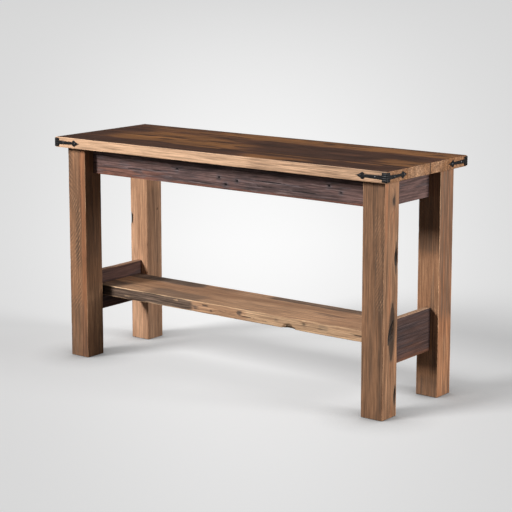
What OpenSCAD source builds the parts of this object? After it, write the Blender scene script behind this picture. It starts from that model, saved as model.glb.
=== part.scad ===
// Console table in reclaimed planks: a top of four edge-joined planks with iron straps
// on its corners, four square posts, a tenoned apron frame, two end stretchers and a
// plank shelf housed between them.
// Millimetres. +X runs along the table, -Y is the front and +Z is up.
// The origin is on the floor, under the centre of the top.

/* [Top] */
// Height of the top's upper face above the floor
table_h = 762; // [720:1:820]
// Length of the top, without the straps
top_len = 1335; // [1200:5:1600]
// Depth of the top, front to back, without the straps
top_dep = 455; // [430:5:520]
// Thickness of the planks of the top
top_t = 35; // [30:1:42]
// Width of the front plank and of the rear plank
outer_plank_w = 114; // [108:1:118]
// How far the seam between the two inner planks lies behind the centre line
centre_seam_y = 11; // [6:1:16]

/* [Legs] */
// Side of the square posts
leg_w = 78; // [74:1:84]
// From the end of the top to the outer face of a post
leg_inset_x = 26; // [15:1:60]
// From the front or rear edge of the top to the outer face of a post
leg_inset_y = 32; // [28:1:36]

/* [Aprons] */
// Height of the apron boards
apron_h = 90; // [80:1:110]
// Thickness of the apron boards
apron_t = 20; // [18:0.5:22]
// From the outer face of a post back to the face of the apron
apron_recess = 41; // [39:1:42]
// Length of the stub tenons on the aprons
apron_tenon_l = 20; // [14:1:22]
// Thickness of the tenons on the aprons
apron_tenon_t = 10; // [8:0.5:12]
// Shoulder above and below each apron tenon
apron_shoulder = 15; // [10:1:20]

/* [Stretchers] */
// Height of the end stretchers' boards
stretcher_h = 140; // [125:1:150]
// Thickness of the stretchers' boards
stretcher_t = 20; // [18:0.5:24]
// From the outer face of a post back to the face of the stretcher
stretcher_recess = 29; // [24:1:32]
// Height of the lower edge of the stretchers above the floor
stretcher_z = 149; // [120:1:160]
// Length of the tenons on the stretchers
stretcher_tenon_l = 40; // [30:1:50]
// Thickness of the tenons on the stretchers
stretcher_tenon_t = 12; // [10:0.5:14]
// Shoulder above and below each stretcher tenon
stretcher_shoulder = 20; // [12:1:25]

/* [Shelf] */
// Width of the shelf plank
shelf_w = 218; // [190:1:226]
// Thickness of the shelf plank
shelf_t = 37; // [30:1:40]
// Height of the underside of the shelf above the floor
shelf_z = 205; // [185:1:220]
// Depth of the housing for the shelf's end in each stretcher
housing_d = 8; // [5:0.5:9]
// Shoulder above the tongue on each end of the shelf, which covers the housing's top edge
shelf_shoulder = 4; // [2:0.5:8]

/* [Straps] */
// Thickness of the iron
strap_t = 2.5; // [2:0.5:4]
// Length of each arm, from the corner to the point
strap_reach = 110; // [100:1:125]
// Width of the plate that wraps the corner, on each face
plate_w = 16; // [12:1:22]
// Height of the plate that wraps the corner
plate_h = 29; // [22:1:30]
// Height of an arm beside the corner plate
arm_root_h = 13; // [10:0.5:16]
// Height of an arm beside its head
arm_neck_h = 8; // [6:0.5:9]
// Height of the spade-shaped head at the end of an arm
head_h = 21; // [18:0.5:24]

/* [Fasteners] */
// Diameter of the dowels between the planks of the top
top_dowel_d = 8; // [6:1:10]
// Length of the dowels between the planks of the top
top_dowel_l = 40; // [30:2:50]
// Diameter of the dowels in the ends of the shelf
shelf_dowel_d = 10; // [8:1:12]
// Diameter of the strap nails' shanks
nail_d = 2.4; // [2:0.2:3]
// Diameter of the strap nails' heads
nail_head_d = 7; // [6:0.5:8]
// Diameter of the wood screws in the buttons
screw_d = 4; // [3.5:0.5:5]

/* [Hidden] */
$fn = 48;

joint_gap = 0.15;      // all round a tenon, dowel or tongue in its hole
end_gap = 1;           // past the end of a tenon or dowel
cut_over = 1;          // how far a cutter runs past the face it starts from

top_x = top_len / 2;
top_y = top_dep / 2;
leg_h = table_h - top_t;
top_mid_z = table_h - top_t / 2;
seam_y = top_y - outer_plank_w;
seams = [-seam_y, centre_seam_y, seam_y];
top_dowel_xs = [-550, -330, -110, 110, 330, 550];

// Faces of the post in the +X +Y corner
leg_x1 = top_x - leg_inset_x;
leg_y1 = top_y - leg_inset_y;
leg_x0 = leg_x1 - leg_w;
leg_y0 = leg_y1 - leg_w;

// Faces of the aprons on the +X and +Y sides
apron_z = leg_h - apron_h;
apron_x1 = leg_x1 - apron_recess;
apron_y1 = leg_y1 - apron_recess;
apron_x0 = apron_x1 - apron_t;
apron_y0 = apron_y1 - apron_t;

// Faces of the stretcher on the +X side
stretcher_x1 = leg_x1 - stretcher_recess;
stretcher_x0 = stretcher_x1 - stretcher_t;

shelf_mid_z = shelf_z + shelf_t / 2;
shelf_end_x = stretcher_x0 + housing_d;
tongue_top_z = shelf_z + shelf_t - shelf_shoulder;
shelf_dowel_ys = [-70, 0, 70];
shelf_dowel_in = 32;   // length of a shelf dowel inside the plank
shelf_dowel_out = 8;   // length of a shelf dowel inside the stretcher

// Straps: the nails' places and the head are measured from the corner along an arm
nail_places = [38, strap_reach - 19];
head_s = strap_reach - 25;
lobe_r = 6;
nail_depth = 20;
nail_head_t = 1.8;

// Buttons that hold the top to the aprons
button_l = 30;         // away from the apron
button_w = 26;         // along the apron
button_h = 18;
tongue_l = 7;
tongue_h = 8;
button_screw_in = 13;  // from the apron's inner face to the screw
screw_in_top = 18;
screw_head_d = 8;
screw_head_t = 2.5;
long_button_xs = [-400, 0, 400];
end_button_ys = [-60, 60];

// A cube between two opposite corners
module block(lo, hi) {
    translate(lo) cube(hi - lo);
}

// Models its children in the +X +Y corner and mirrors them to another
module at_corner(sx, sy) {
    mirror([sx < 0 ? 1 : 0, 0, 0]) mirror([0, sy < 0 ? 1 : 0, 0]) children();
}

// ---- joinery shapes, each with a gap for the matching hole

// Tenon of a long apron, into the inner X face of the +X +Y post
module long_apron_tenon(gap, past) {
    mid = (apron_y0 + apron_y1) / 2;
    block([leg_x0 - past, mid - apron_tenon_t / 2 - gap, apron_z + apron_shoulder - gap],
          [leg_x0 + apron_tenon_l + (gap > 0 ? end_gap : 0),
           mid + apron_tenon_t / 2 + gap, leg_h - apron_shoulder + gap]);
}

// Tenon of an end apron, into the inner Y face of the +X +Y post
module end_apron_tenon(gap, past) {
    mid = (apron_x0 + apron_x1) / 2;
    block([mid - apron_tenon_t / 2 - gap, leg_y0 - past, apron_z + apron_shoulder - gap],
          [mid + apron_tenon_t / 2 + gap,
           leg_y0 + apron_tenon_l + (gap > 0 ? end_gap : 0), leg_h - apron_shoulder + gap]);
}

// Tenon of a stretcher, into the inner Y face of the +X +Y post
module stretcher_tenon(gap, past) {
    mid = (stretcher_x0 + stretcher_x1) / 2;
    z1 = stretcher_z + stretcher_h;
    block([mid - stretcher_tenon_t / 2 - gap, leg_y0 - past,
           stretcher_z + stretcher_shoulder - gap],
          [mid + stretcher_tenon_t / 2 + gap,
           leg_y0 + stretcher_tenon_l + (gap > 0 ? end_gap : 0),
           z1 - stretcher_shoulder + gap]);
}

// All the dowels across the seams of the top
module top_dowel_set(gap) {
    half = top_dowel_l / 2 + (gap > 0 ? end_gap : 0);
    for (y = seams, x = top_dowel_xs)
        translate([x, y - half, top_mid_z]) rotate([-90, 0, 0])
            cylinder(d = top_dowel_d + 2 * gap, h = 2 * half);
}

// All the dowels between the shelf and the stretchers
module shelf_dowel_set(gap) {
    extra = gap > 0 ? end_gap : 0;
    for (side = [-1, 1], y = shelf_dowel_ys)
        at_corner(side, 1)
            translate([shelf_end_x - shelf_dowel_in - extra, y, shelf_mid_z])
                rotate([0, 90, 0])
                    cylinder(d = shelf_dowel_d + 2 * gap,
                             h = shelf_dowel_in + shelf_dowel_out + 2 * extra);
}

// A cylinder at every nail, from below the wood's face outwards
module at_nails() {
    for (sx = [-1, 1], sy = [-1, 1], s = nail_places)
        at_corner(sx, sy) {
            translate([top_x - s, top_y, top_mid_z]) rotate([-90, 0, 0]) children();
            translate([top_x, top_y - s, top_mid_z]) rotate([0, 90, 0]) children();
        }
}

module nail_holes() {
    at_nails()
        translate([0, 0, -nail_depth - end_gap])
            cylinder(d = nail_d + 2 * joint_gap, h = nail_depth + end_gap + cut_over);
}

// Puts its children at every button: origin on the apron's inner face at the underside
// of the top, +X pointing away from the apron
module at_buttons() {
    for (x = long_button_xs, side = [-90, 90])
        translate([x, -sign(side) * apron_y0, leg_h]) rotate([0, 0, side]) children();
    for (y = end_button_ys, side = [0, 180])
        translate([(side == 0 ? -1 : 1) * apron_x0, y, leg_h]) rotate([0, 0, side])
            children();
}

// Slots in the aprons for the buttons' tongues
module button_slots() {
    at_buttons()
        block([-tongue_l - end_gap, -button_w / 2 - 2, -button_h - joint_gap],
              [cut_over, button_w / 2 + 2, tongue_h - button_h + joint_gap]);
}

module screw_pilots() {
    at_buttons()
        translate([button_screw_in, 0, -cut_over])
            cylinder(d = screw_d + 2 * joint_gap, h = screw_in_top + end_gap + cut_over);
}

// ---- parts

// One plank of the top, between two depths
module top_plank(y0, y1) {
    difference() {
        block([-top_x, y0, leg_h], [top_x, y1, table_h]);
        top_dowel_set(joint_gap);
        nail_holes();
        screw_pilots();
    }
}

module top_plank_front() { color("#7b5238") top_plank(-top_y, -seam_y); }
module top_plank_mid_front() { color("#8a5c3c") top_plank(-seam_y, centre_seam_y); }
module top_plank_mid_rear() { color("#6b4a37") top_plank(centre_seam_y, seam_y); }
module top_plank_rear() { color("#8d6040") top_plank(seam_y, top_y); }

module leg(sx, sy) {
    color("#8a6246") at_corner(sx, sy)
        difference() {
            block([leg_x0, leg_y0, 0], [leg_x1, leg_y1, leg_h]);
            long_apron_tenon(joint_gap, cut_over);
            end_apron_tenon(joint_gap, cut_over);
            stretcher_tenon(joint_gap, cut_over);
        }
}

module leg_front_left() { leg(-1, -1); }
module leg_front_right() { leg(1, -1); }
module leg_rear_left() { leg(-1, 1); }
module leg_rear_right() { leg(1, 1); }

module long_apron(sy) {
    color("#6d5650") difference() {
        at_corner(1, sy) {
            block([-leg_x0, apron_y0, apron_z], [leg_x0, apron_y1, leg_h]);
            long_apron_tenon(0, cut_over);
            at_corner(-1, 1) long_apron_tenon(0, cut_over);
        }
        button_slots();
    }
}

module end_apron(sx) {
    color("#6d5650") difference() {
        at_corner(sx, 1) {
            block([apron_x0, -leg_y0, apron_z], [apron_x1, leg_y0, leg_h]);
            end_apron_tenon(0, cut_over);
            at_corner(1, -1) end_apron_tenon(0, cut_over);
        }
        button_slots();
    }
}

module apron_front() { long_apron(-1); }
module apron_rear() { long_apron(1); }
module apron_left() { end_apron(-1); }
module apron_right() { end_apron(1); }

module stretcher(sx) {
    color("#5d4540") difference() {
        at_corner(sx, 1) {
            block([stretcher_x0, -leg_y0, stretcher_z],
                  [stretcher_x1, leg_y0, stretcher_z + stretcher_h]);
            stretcher_tenon(0, cut_over);
            at_corner(1, -1) stretcher_tenon(0, cut_over);
        }
        at_corner(sx, 1)
            block([stretcher_x0 - cut_over, -shelf_w / 2 - joint_gap, shelf_z - joint_gap],
                  [shelf_end_x + joint_gap, shelf_w / 2 + joint_gap,
                   tongue_top_z + joint_gap]);
        shelf_dowel_set(joint_gap);
    }
}

module stretcher_left() { stretcher(-1); }
module stretcher_right() { stretcher(1); }

module shelf_plank() {
    color("#94704f") difference() {
        union() {
            block([-shelf_end_x, -shelf_w / 2, shelf_z],
                  [shelf_end_x, shelf_w / 2, tongue_top_z]);
            block([-stretcher_x0, -shelf_w / 2, shelf_z],
                  [stretcher_x0, shelf_w / 2, shelf_z + shelf_t]);
        }
        shelf_dowel_set(joint_gap);
    }
}

// Outline of one arm: s runs from the corner to the point, the other axis is height.
// The point's edges sweep in on a power curve.
module arm_outline() {
    point_steps = 8;
    point_curve = 1.5;
    square_s = plate_w;
    translate([0, -plate_h / 2]) square([square_s, plate_h]);
    polygon([[square_s - 1, -arm_root_h / 2], [head_s, -arm_neck_h / 2],
             [head_s, arm_neck_h / 2], [square_s - 1, arm_root_h / 2]]);
    for (side = [-1, 1])
        translate([head_s, side * (head_h / 2 - lobe_r)]) circle(r = lobe_r);
    upper = [for (i = [0:point_steps])
        let (t = i / point_steps)
        [head_s + t * (strap_reach - head_s), head_h / 2 * pow(1 - t, point_curve)]];
    lower = [for (i = [point_steps - 1:-1:0]) [upper[i][0], -upper[i][1]]];
    polygon(concat(upper, lower));
}

module strap(sx, sy) {
    color("#1d1c1c") at_corner(sx, sy)
        difference() {
            union() {
                translate([top_x, top_y + strap_t, top_mid_z]) rotate([90, 0, 0])
                    linear_extrude(strap_t) mirror([1, 0]) arm_outline();
                translate([top_x, top_y, top_mid_z]) rotate([90, 0, 90])
                    linear_extrude(strap_t) mirror([1, 0]) arm_outline();
                translate([top_x, top_y, top_mid_z - plate_h / 2])
                    cube([strap_t, strap_t, plate_h]);
            }
            for (s = nail_places) {
                translate([top_x - s, top_y - cut_over, top_mid_z]) rotate([-90, 0, 0])
                    cylinder(d = nail_d + 2 * joint_gap, h = strap_t + 2 * cut_over);
                translate([top_x - cut_over, top_y - s, top_mid_z]) rotate([0, 90, 0])
                    cylinder(d = nail_d + 2 * joint_gap, h = strap_t + 2 * cut_over);
            }
        }
}

module strap_front_left() { strap(-1, -1); }
module strap_front_right() { strap(1, -1); }
module strap_rear_left() { strap(-1, 1); }
module strap_rear_right() { strap(1, 1); }

// One group: four nails for each strap
module strap_nails() {
    color("#2b2a2a") at_nails() {
        translate([0, 0, -nail_depth]) cylinder(d = nail_d, h = nail_depth + strap_t);
        translate([0, 0, strap_t])
            cylinder(d1 = nail_head_d, d2 = nail_head_d * 0.6, h = nail_head_t);
    }
}

module top_dowels() { color("#c9a46c") top_dowel_set(0); }
module shelf_dowels() { color("#c9a46c") shelf_dowel_set(0); }

// One group: wooden buttons, each with a tongue in an apron and a screw into the top
module top_buttons() {
    color("#b08a5a") at_buttons()
        difference() {
            union() {
                block([0, -button_w / 2, -button_h], [button_l, button_w / 2, 0]);
                block([-tongue_l, -button_w / 2, -button_h],
                      [cut_over, button_w / 2, tongue_h - button_h]);
            }
            translate([button_screw_in, 0, -button_h - cut_over])
                cylinder(d = screw_d + 2 * joint_gap, h = button_h + 2 * cut_over);
        }
}

module button_screws() {
    color("#8f8f8c") at_buttons() translate([button_screw_in, 0, -button_h]) {
        cylinder(d = screw_d, h = button_h + screw_in_top);
        translate([0, 0, -screw_head_t]) cylinder(d = screw_head_d, h = screw_head_t);
    }
}

top_plank_front();
top_plank_mid_front();
top_plank_mid_rear();
top_plank_rear();
leg_front_left();
leg_front_right();
leg_rear_left();
leg_rear_right();
apron_front();
apron_rear();
apron_left();
apron_right();
stretcher_left();
stretcher_right();
shelf_plank();
strap_front_left();
strap_front_right();
strap_rear_left();
strap_rear_right();
strap_nails();
top_dowels();
shelf_dowels();
top_buttons();
button_screws();
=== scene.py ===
import math
from itertools import product

import bmesh
import bpy
import numpy as np
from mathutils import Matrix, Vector


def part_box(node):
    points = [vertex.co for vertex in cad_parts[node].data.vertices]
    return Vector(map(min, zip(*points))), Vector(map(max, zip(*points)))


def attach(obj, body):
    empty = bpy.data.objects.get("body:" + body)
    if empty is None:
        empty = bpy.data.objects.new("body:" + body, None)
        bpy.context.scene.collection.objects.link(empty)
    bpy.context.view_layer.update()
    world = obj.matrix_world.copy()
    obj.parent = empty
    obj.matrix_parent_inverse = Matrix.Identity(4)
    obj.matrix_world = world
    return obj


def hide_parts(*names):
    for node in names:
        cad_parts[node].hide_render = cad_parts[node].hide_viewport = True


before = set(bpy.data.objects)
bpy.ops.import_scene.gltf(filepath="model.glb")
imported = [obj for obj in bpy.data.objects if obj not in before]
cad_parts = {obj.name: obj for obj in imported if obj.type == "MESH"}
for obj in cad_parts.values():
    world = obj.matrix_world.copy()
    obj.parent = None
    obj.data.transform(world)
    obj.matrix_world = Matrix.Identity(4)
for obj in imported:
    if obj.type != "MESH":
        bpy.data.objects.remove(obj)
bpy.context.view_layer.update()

MM = 0.001

# ---- joinery, in millimetres, as in the CAD
JOINT_GAP = 0.15
END_GAP = 1.0
# Each tenon's length, thickness and shoulder
APRON_TENON = (20.0, 10.0, 15.0)
STRETCHER_TENON = (40.0, 12.0, 20.0)
HOUSING_D = 8.0
SHELF_SHOULDER = 4.0
STRAP_T = 2.5
STRAP_REACH = 110.0
PLATE_W = 16.0
NAIL_PLACES = (38.0, STRAP_REACH - 19.0)
NAIL_D = 2.4
NAIL_HEAD_D = 7.0
NAIL_HEAD_T = 1.8
NAIL_DEPTH = 20.0

# ---- faces of a board: the axis that each looks along, and whether it is the high end
SIDES = {
    "left": (0, 0), "right": (0, 1),
    "front": (1, 0), "back": (1, 1),
    "bottom": (2, 0), "top": (2, 1),
}
OPPOSITE = {"front": "back", "back": "front", "left": "right", "right": "left"}


# ---- noise

def hashed(cells, seed):
    """A fixed number from -1 to 1 for each cell of a lattice."""
    mixed = cells[:, 0] * 374761393 + cells[:, 1] * 668265263 + cells[:, 2] * 1440662683
    mixed = (mixed + seed * 1274126177) & 0xFFFFFFFF
    mixed = ((mixed ^ (mixed >> 13)) * 1274126177) & 0xFFFFFFFF
    mixed = mixed ^ (mixed >> 16)
    return (mixed & 0xFFFF) / 32767.5 - 1.0


def noise(points, cell, seed):
    """Smooth noise from -1 to 1 at each point. cell is its grain along X, Y and Z."""
    scaled = points / np.array(cell, float)
    low = np.floor(scaled).astype(np.int64)
    part = scaled - low
    fade = part * part * (3 - 2 * part)
    total = np.zeros(len(points))
    for corner in np.ndindex(2, 2, 2):
        at_high = np.array(corner) == 1
        weight = np.prod(np.where(at_high, fade, 1 - fade), axis=1)
        total += weight * hashed(low + at_high, seed)
    return total


def layered(points, cell, seed):
    """Two octaves of noise, about -1 to 1."""
    fine = noise(points, np.array(cell, float) / 2.3, seed + 1)
    return 0.7 * noise(points, cell, seed) + 0.3 * fine


def smooth(low, high, value):
    """0 below low and 1 above high, with a soft step between."""
    share = np.clip((value - low) / (high - low), 0, 1)
    return share * share * (3 - 2 * share)


# ---- boards

ARRIS_STEPS = (0.5, 1.2, 2.1, 3.2)
LINE_GAP = 0.35
BEYOND = 60.0


class Board:
    """A sawn piece of wood. Its shape is a lattice of small cells: the body, plus its
    tenons, less its mortises. Sizes are millimetres in the CAD's frame."""

    arris = 1.4
    arris_wander = 1.0
    wear = 0.8
    wear_width = 2.2

    def __init__(self, node, seed, long_axis, body=None, free_ends=True, **finish):
        low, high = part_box(node)
        self.node = node
        self.seed = seed
        self.long_axis = long_axis
        self.low = np.array(low) / MM
        self.high = np.array(high) / MM
        if body:
            self.low[long_axis] = body[0]
            self.high[long_axis] = body[1]
        self.free_ends = free_ends
        self.tenons = []
        self.voids = []
        self.features = []
        for name, value in finish.items():
            setattr(self, name, value)

    def grain(self, across, along):
        """A cell of noise that is stretched along the board."""
        cell = np.full(3, float(across))
        cell[self.long_axis] = along
        return cell

    def sides(self):
        """The body's box. Ends that butt against a post have no arris, so they go on."""
        low, high = self.low.copy(), self.high.copy()
        if not self.free_ends:
            low[self.long_axis] -= BEYOND
            high[self.long_axis] += BEYOND
        return low, high

    def spot(self, side, u, v):
        """A point on a face. u and v run from the board's low corner along that face."""
        axis, end = SIDES[side]
        others = [i for i in range(3) if i != axis]
        point = np.zeros(3)
        point[axis] = self.high[axis] if end else self.low[axis]
        point[others[0]] = self.low[others[0]] + u
        point[others[1]] = self.low[others[1]] + v
        return point


def merged_lines(low, high, step, special):
    """Grid lines from low to high: close by the arrises, a step apart between them, and
    exactly on each special place."""
    near = [low + s for s in ARRIS_STEPS] + [high - s for s in ARRIS_STEPS]
    inner_low = low + ARRIS_STEPS[-1]
    inner_high = high - ARRIS_STEPS[-1]
    count = max(1, round((inner_high - inner_low) / step))
    even = np.linspace(inner_low, inner_high, count + 1)
    base = sorted({round(float(x), 3) for x in [low, high, *near, *even]})
    fixed = sorted({round(float(x), 3) for x in [low, high, *special]})
    kept = [x for x in base if min(abs(x - s) for s in fixed) > LINE_GAP]
    return np.array(sorted(kept + fixed))


def lattice(board, steps):
    """The board's surface as points, quads and the axis grid that they come from."""
    boxes = [(board.low, board.high), *board.tenons]
    lows = np.min([b[0] for b in boxes], axis=0)
    highs = np.max([b[1] for b in boxes], axis=0)
    lines = []
    for axis in range(3):
        special = [edge[axis] for box in [*boxes, *board.voids] for edge in box]
        special = [s for s in special if lows[axis] <= s <= highs[axis]]
        lines.append(merged_lines(lows[axis], highs[axis], steps[axis], special))
    mids = [(line[1:] + line[:-1]) / 2 for line in lines]

    def within(box):
        masks = [(mids[a] > box[0][a]) & (mids[a] < box[1][a]) for a in range(3)]
        return masks[0][:, None, None] & masks[1][None, :, None] & masks[2][None, None, :]

    solid = np.zeros([len(m) for m in mids], bool)
    for box in boxes:
        solid |= within(box)
    for box in board.voids:
        solid &= ~within(box)
    sizes = [len(line) for line in lines]

    quads = []
    for axis in range(3):
        padding = [(1, 1) if a == axis else (0, 0) for a in range(3)]
        padded = np.pad(solid, padding).astype(np.int8)
        step = np.diff(padded, axis=axis)
        b, c = np.roll(np.eye(3, dtype=int), -1 - axis, axis=0)[:2]
        for sign in (1, -1):
            ring = np.array([0 * b, b, b + c, c])[::-sign]
            corners = np.argwhere(step == sign)[:, None, :] + ring
            quads.append(np.ravel_multi_index(np.moveaxis(corners, 2, 0), sizes))
    quads = np.concatenate(quads)
    used, quads = np.unique(quads, return_inverse=True)
    quads = quads.reshape(-1, 4)
    ijk = np.stack(np.unravel_index(used, sizes), axis=1)
    points = np.stack([lines[a][ijk[:, a]] for a in range(3)], axis=1)
    return points, quads


def rounded(board, points, radius):
    """Points with the body's arrises rounded, the outward direction at each, and how
    near the surface each is: 1 on it, 0 at a radius under it."""
    low, high = board.sides()
    radius = radius[:, None]
    core = np.clip(points, low + radius, high - radius)
    away = points - core
    length = np.linalg.norm(away, axis=1, keepdims=True)
    widest = np.max(np.abs(away), axis=1, keepdims=True)
    outward = away / np.maximum(length, 1e-9)
    moved = core + outward * widest
    return moved, outward, (widest / radius)[:, 0]


def edge_distance(board, points):
    """How far each surface point is from the nearest arris of the body."""
    low, high = board.sides()
    gaps = np.minimum(np.abs(points - low), np.abs(high - points))
    return np.sort(gaps, axis=1)[:, 1]


# ---- features: each one changes the push inwards and the paint of the points near it

HOLE_DEPTH = 3.0
HOLE_STAIN = 2.2
KNOT_SINK = 0.8
KNOT_DARK = 0.8
FAR = 1e4


def feature(shape):
    """A feature is called with its own values, and gives what is later called with the
    board and its points."""
    return lambda *own, **named: lambda *skin: shape(*skin, *own, **named)


def path_distance(points, path):
    """Distance to a line through some points, and the share of its length there."""
    best = np.full(len(points), 1e9)
    share = np.zeros(len(points))
    lengths = [np.linalg.norm(b - a) for a, b in zip(path, path[1:])]
    done = 0.0
    for a, b, length in zip(path, path[1:], lengths):
        t = np.clip((points - a) @ (b - a) / length ** 2, 0, 1)
        gap = np.linalg.norm(points - (a + t[:, None] * (b - a)), axis=1)
        nearer = gap < best
        best = np.where(nearer, gap, best)
        share = np.where(nearer, (done + t * length) / sum(lengths), share)
        done += length
    return best, share


def lay(paint, kind, amount):
    """Adds paint where it is stronger than what is already there."""
    paint[kind] = np.maximum(paint[kind], amount)


def facing(normals, side):
    """1 where a point belongs to that face, 0 elsewhere."""
    axis, end = SIDES[side]
    return smooth(0.45, 0.75, normals[:, axis] * (1 if end else -1))


@feature
def crack(board, points, normals, push, paint, side, path, width, depth, stain=2.5, black=0.95):
    """A split that tapers to both ends, with darkened wood beside it."""
    line = [board.spot(side, u, v) for u, v in path]
    wander = 0.5 * noise(points, (9, 9, 9), board.seed + 31)[:, None]
    gap, share = path_distance(points + wander, line)
    taper = np.sin(np.pi * np.clip(share, 0.03, 0.97)) ** 0.6
    half = width / 2 * taper
    on = facing(normals, side)
    # The core is painted near-black: painted shade deep in the split. The darker wood round it is a
    # stain
    core = on * (1 - smooth(half * 0.6, half * 1.4 + 0.3, gap))
    push += core * depth * taper
    lay(paint, "hole", core * black)
    near = on * np.exp(-(gap / (width * stain)) ** 2)
    lay(paint, "dark", near * 0.7)


@feature
def hole(board, points, normals, push, paint, side, u, v, diameter):
    """An old nail's hole, with a rust stain round it."""
    gap = np.linalg.norm(points - board.spot(side, u, v), axis=1)
    on = facing(normals, side)
    # The core is painted black: iron stain and painted shade in the hole. The ring round it is a
    # rust stain
    core = on * (1 - smooth(diameter * 0.35, diameter * 0.7, gap))
    push += core * HOLE_DEPTH
    lay(paint, "hole", core)
    near = on * np.exp(-(gap / (diameter * HOLE_STAIN)) ** 2)
    lay(paint, "dark", near * 0.8)


@feature
def knot(board, points, normals, push, paint, side, u, v, size, stretch=1.6):
    """A knot: the rings swell round it, its middle is dark and a little sunk."""
    offset = points - board.spot(side, u, v)
    offset[:, board.long_axis] /= stretch
    gap = np.linalg.norm(offset, axis=1)
    on = facing(normals, side)
    heart = on * (1 - smooth(size * 0.25, size * 0.6, gap))
    push += heart * KNOT_SINK
    swell = np.exp(-(gap / (size * 1.5)) ** 2)
    paint["swirl"] += swell * size * 0.9
    lay(paint, "dark", on * np.exp(-(gap / size) ** 2) * KNOT_DARK)
    lay(paint, "hole", heart * KNOT_DARK * 0.75)


@feature
def bite(board, points, normals, push, paint, side, u, v, size, depth, length):
    """A piece broken out of an arris."""
    offset = points - board.spot(side, u, v)
    offset[:, board.long_axis] *= size / length
    wander = 1 + 0.25 * noise(points, (5, 5, 5), board.seed + 47)
    gap = np.linalg.norm(offset, axis=1) / (size * wander)
    hollow = np.clip(1 - gap * gap, 0, 1)
    push += depth * hollow ** 0.6
    # The hollow is painted dark and black: painted shade in the break
    lay(paint, "hole", smooth(0.2, 0.9, hollow) * 0.6)
    lay(paint, "dark", smooth(0.0, 0.4, hollow) * 0.8)


@feature
def patch(
    board, points, normals, push, paint, side, u0, u1, v0, v1, kind, amount, soft=12.0, ragged=0.5,
):
    """A patch of paint with soft, uneven edges on one face."""
    low, high = board.spot(side, u0, v0), board.spot(side, u1, v1)
    axis = SIDES[side][0]
    wander = layered(points, board.grain(14, 90), board.seed + 61) * soft * ragged
    inside = np.ones(len(points))
    for a in range(3):
        if a == axis:
            continue
        span = soft * (3.0 if a == board.long_axis else 1.0)
        gap = np.minimum(points[:, a] - low[a], high[a] - points[:, a])
        inside *= smooth(-span / 2, span / 2, gap + wander)
    painted = inside * facing(normals, side) * abs(amount)
    if amount > 0:
        lay(paint, kind, painted)
    else:
        paint[kind] *= 1 - painted


@feature
def streaks(
    board, points, normals, push, paint, side, kind, amount, across, along=180.0, level=0.1, seed=0,
):
    """Long uneven streaks along the grain, over a whole face."""
    field = layered(points, board.grain(across, along), board.seed + 83 + seed)
    painted = smooth(level, level + 0.45, field) * amount * facing(normals, side)
    lay(paint, kind, painted)


@feature
def kerfs(
    board, points, normals, push, paint, side, pitch, slope, depth, tint, cover=0.0,
    u0=-FAR, u1=FAR, v0=-FAR, v1=FAR,
):
    """Marks of the saw across a face, in patches. u is across the board and v along it.
    slope leans the marks along the grain, and a higher cover joins the patches up."""
    axis = SIDES[side][0]
    long_axis = board.long_axis
    across = [i for i in range(3) if i not in (axis, long_axis)][0]
    u = points[:, across] - board.low[across]
    v = points[:, long_axis] - board.low[long_axis]
    bend = noise(points, (60, 60, 60), board.seed + 11) * pitch * 0.7
    wave = np.sin((v + u * slope + bend) * 2 * np.pi / pitch)
    field = layered(points, board.grain(20, 60), board.seed + 17)
    patches = smooth(-0.5 - cover, 0.5 - cover, field)
    patches *= smooth(u0 - 8, u0 + 8, u) * (1 - smooth(u1 - 8, u1 + 8, u))
    patches *= smooth(v0 - 30, v0 + 30, v) * (1 - smooth(v1 - 30, v1 + 30, v))
    mark = facing(normals, side) * patches
    push += mark * smooth(-0.3, 0.9, wave) * depth
    lay(paint, "dark", mark * smooth(-0.2, 0.9, wave) * tint)
    lay(paint, "pale", mark * smooth(-0.2, 0.9, -wave) * tint * 0.8)


# Paints laid on each board: pale is bare wood and painted light; dark is weathering, stains and
# painted shade; hole is black breaks, holes, seams and painted shade; warm is reddish wood; swirl
# bends the rings
PAINTS = ("pale", "dark", "warm", "hole", "swirl")
BOX_GAP = 0.02
ARRIS_LIMITS = (0.4, 6.0)


def worn_arrises(board, points, paint, edge):
    """Bare, paler wood along the arrises, broken up."""
    field = layered(points, board.grain(12, 60), board.seed + 5)
    wide = board.wear_width * (1 + 0.6 * field)
    rub = np.exp(-(edge / np.maximum(wide, 0.3)) ** 2)
    lay(paint, "pale", rub * board.wear * (0.75 + 0.4 * field))


def built(board, steps, material):
    """Makes the board's piece: shape, paint, material, body and slot."""
    points, quads = lattice(board, steps)
    grain = board.grain(9, 55)
    field = layered(points, grain, board.seed)
    chips = smooth(0.45, 0.85, noise(points, grain * 0.6, board.seed + 2))
    radius = board.arris * (1 + 0.45 * field) + board.arris_wander * chips
    edge = edge_distance(board, points)
    moved, normals, near = rounded(board, points, np.clip(radius, *ARRIS_LIMITS))

    waves = 0.5 + 0.5 * layered(points, board.grain(30, 130), board.seed + 7)
    ridges = 0.5 + 0.5 * noise(points, board.grain(3.4, 70), board.seed + 9)
    push = board.roughness * (waves + 0.35 * ridges)
    paint = {name: np.zeros(len(points)) for name in PAINTS}
    worn_arrises(board, points, paint, edge)
    for feature in board.features:
        feature(board, points, normals, push, paint)
    moved = moved - normals * (push * near)[:, None]
    on_body = near > 0.999
    moved[on_body] = np.clip(moved[on_body], board.low + BOX_GAP, board.high - BOX_GAP)

    mesh = bpy.data.meshes.new(board.node + "_mesh")
    mesh.from_pydata((moved * MM).tolist(), [], quads.tolist())
    mesh.shade_smooth()
    for name, values in paint.items():
        scale = MM if name == "swirl" else 1.0
        store = mesh.attributes.new(name, "FLOAT", "POINT")
        store.data.foreach_set("value", (values * scale).astype(np.float32))
    piece = placed(mesh, board.node + "_wood", material)
    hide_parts(board.node)


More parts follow.
